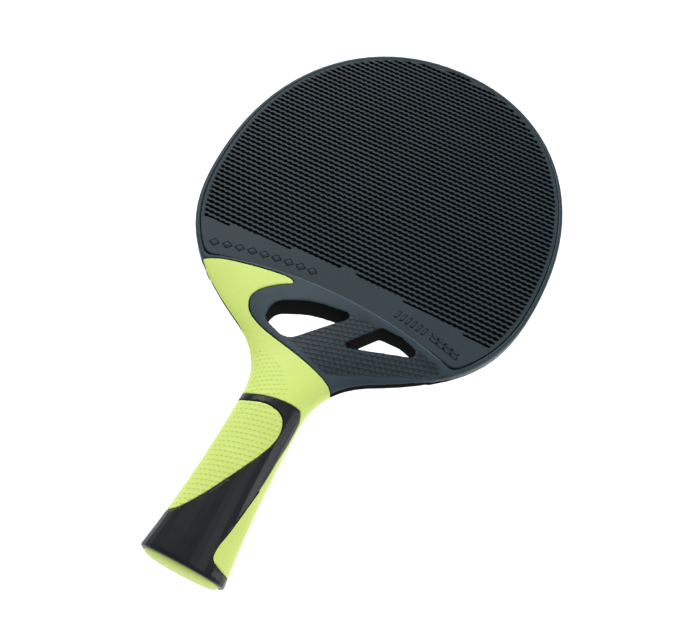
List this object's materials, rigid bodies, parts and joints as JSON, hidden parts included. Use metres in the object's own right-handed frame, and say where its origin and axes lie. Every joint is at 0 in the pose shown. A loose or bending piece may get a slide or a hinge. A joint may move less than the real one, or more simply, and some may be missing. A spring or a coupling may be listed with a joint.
{
  "type": "table tennis paddle",
  "caption": "Outdoor table tennis paddle: moulded blade with ribbed rubber on both faces, open throat, soft green grip in a dark cage.",
  "frame": {"origin": "middle of the paddle's box: on the handle's centre line, half way along the length, in the blade's middle plane", "axes": "+X across the blade, +Y from the butt towards the blade's tip, +Z out of the front face"},
  "size_m": [0.1512, 0.2564, 0.0236],
  "materials": {
    "dark_plastic": "satin moulded slate blue-grey",
    "cage_plastic": "semi-gloss near-black",
    "rubber": "satin ribbed rubber",
    "sponge": "closed-cell foam",
    "soft_green": "soft-touch satin lime green"
  },
  "bodies": {
    "root": {"blade_core": "dark_plastic", "sponge_front": "sponge", "sponge_rear": "sponge", "rubber_front": "rubber", "rubber_rear": "rubber", "soft_grip": "soft_green", "grip_pad": "soft_green", "handle_cage_front": "cage_plastic", "handle_cage_rear": "cage_plastic", "butt_cap": "soft_green"}
  },
  "joints": []
}
